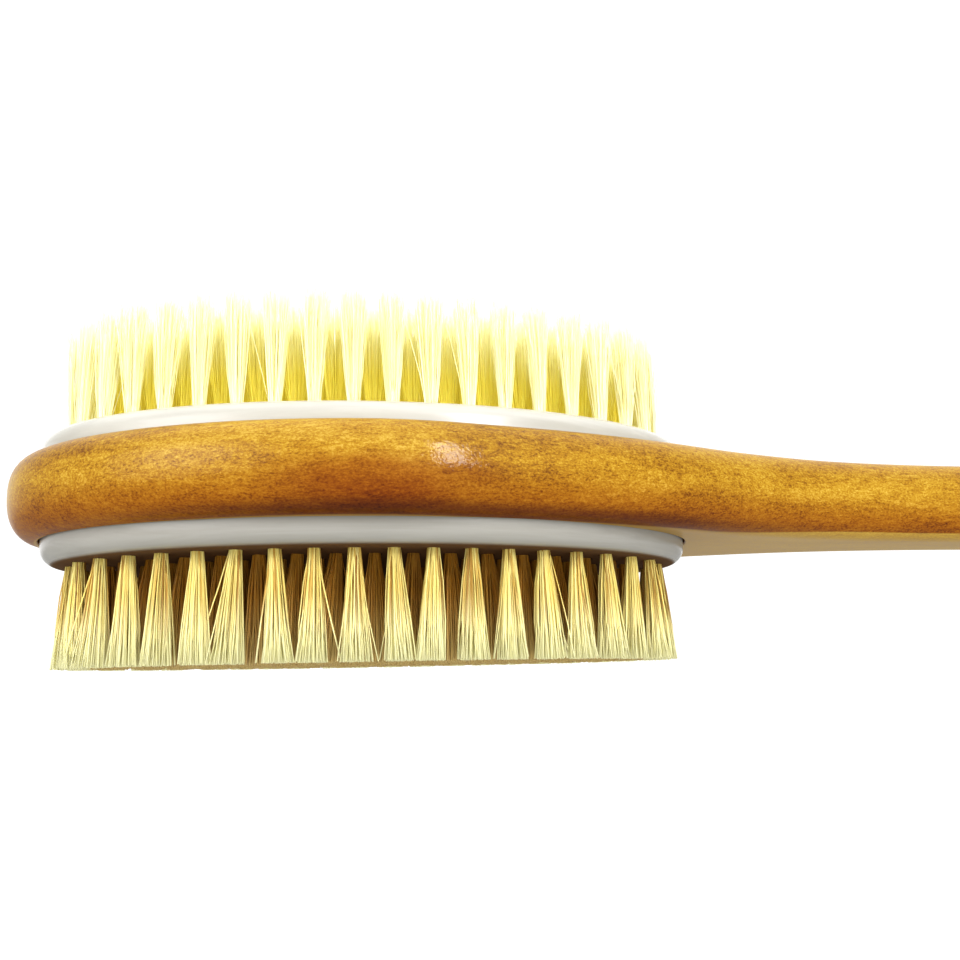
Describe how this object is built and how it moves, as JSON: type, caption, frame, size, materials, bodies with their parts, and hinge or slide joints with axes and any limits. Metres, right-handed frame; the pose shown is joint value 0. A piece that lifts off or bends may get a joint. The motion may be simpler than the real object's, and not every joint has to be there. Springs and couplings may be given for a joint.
{
  "type": "body dry brush",
  "caption": "Double-sided body brush: oval wooden head and long handle in one piece, white plastic pads with firm tufts below and soft tufts above, hanging hole at the handle's end.",
  "frame": {"origin": "on the firm bristle tips, under the middle of the oval head", "axes": "+X along the handle from the head to the hanging hole, +Z from the firm bristles to the soft ones, +Y across the head"},
  "size_m": [0.401, 0.0724, 0.0617],
  "materials": {
    "varnished_wood": "satin varnish over orange-brown wood with fine mottled grain",
    "white_plastic": "glossy moulded white plastic with a rounded edge",
    "firm_bristle": "coarse straw-coloured natural bristle, tips cut level",
    "soft_bristle": "fine pale cream bristle, tips a little uneven"
  },
  "bodies": {
    "root": {"firm_pad": "white_plastic", "firm_tufts_centre_1": "firm_bristle", "firm_tufts_fourth_1": "firm_bristle", "firm_tufts_fourth_2": "firm_bristle", "firm_tufts_fourth_3": "firm_bristle", "firm_tufts_fourth_4": "firm_bristle", "firm_tufts_outer_1": "firm_bristle", "firm_tufts_outer_2": "firm_bristle", "firm_tufts_outer_3": "firm_bristle", "firm_tufts_outer_4": "firm_bristle", "firm_tufts_outer_5": "firm_bristle", "firm_tufts_outer_6": "firm_bristle", "firm_tufts_outer_7": "firm_bristle", "firm_tufts_outer_8": "firm_bristle", "firm_tufts_second_1": "firm_bristle", "firm_tufts_second_2": "firm_bristle", "firm_tufts_second_3": "firm_bristle", "firm_tufts_second_4": "firm_bristle", "firm_tufts_second_5": "firm_bristle", "firm_tufts_second_6": "firm_bristle", "firm_tufts_third_1": "firm_bristle", "firm_tufts_third_2": "firm_bristle", "firm_tufts_third_3": "firm_bristle", "firm_tufts_third_4": "firm_bristle", "firm_tufts_third_5": "firm_bristle", "firm_tufts_third_6": "firm_bristle", "soft_pad": "white_plastic", "soft_tufts_centre_1": "soft_bristle", "soft_tufts_fourth_1": "soft_bristle", "soft_tufts_fourth_2": "soft_bristle", "soft_tufts_fourth_3": "soft_bristle", "soft_tufts_fourth_4": "soft_bristle", "soft_tufts_outer_1": "soft_bristle", "soft_tufts_outer_2": "soft_bristle", "soft_tufts_outer_3": "soft_bristle", "soft_tufts_outer_4": "soft_bristle", "soft_tufts_outer_5": "soft_bristle", "soft_tufts_outer_6": "soft_bristle", "soft_tufts_outer_7": "soft_bristle", "soft_tufts_outer_8": "soft_bristle", "soft_tufts_second_1": "soft_bristle", "soft_tufts_second_2": "soft_bristle", "soft_tufts_second_3": "soft_bristle", "soft_tufts_second_4": "soft_bristle", "soft_tufts_second_5": "soft_bristle", "soft_tufts_second_6": "soft_bristle", "soft_tufts_third_1": "soft_bristle", "soft_tufts_third_2": "soft_bristle", "soft_tufts_third_3": "soft_bristle", "soft_tufts_third_4": "soft_bristle", "soft_tufts_third_5": "soft_bristle", "soft_tufts_third_6": "soft_bristle", "wooden_body": "varnished_wood"}
  },
  "joints": []
}
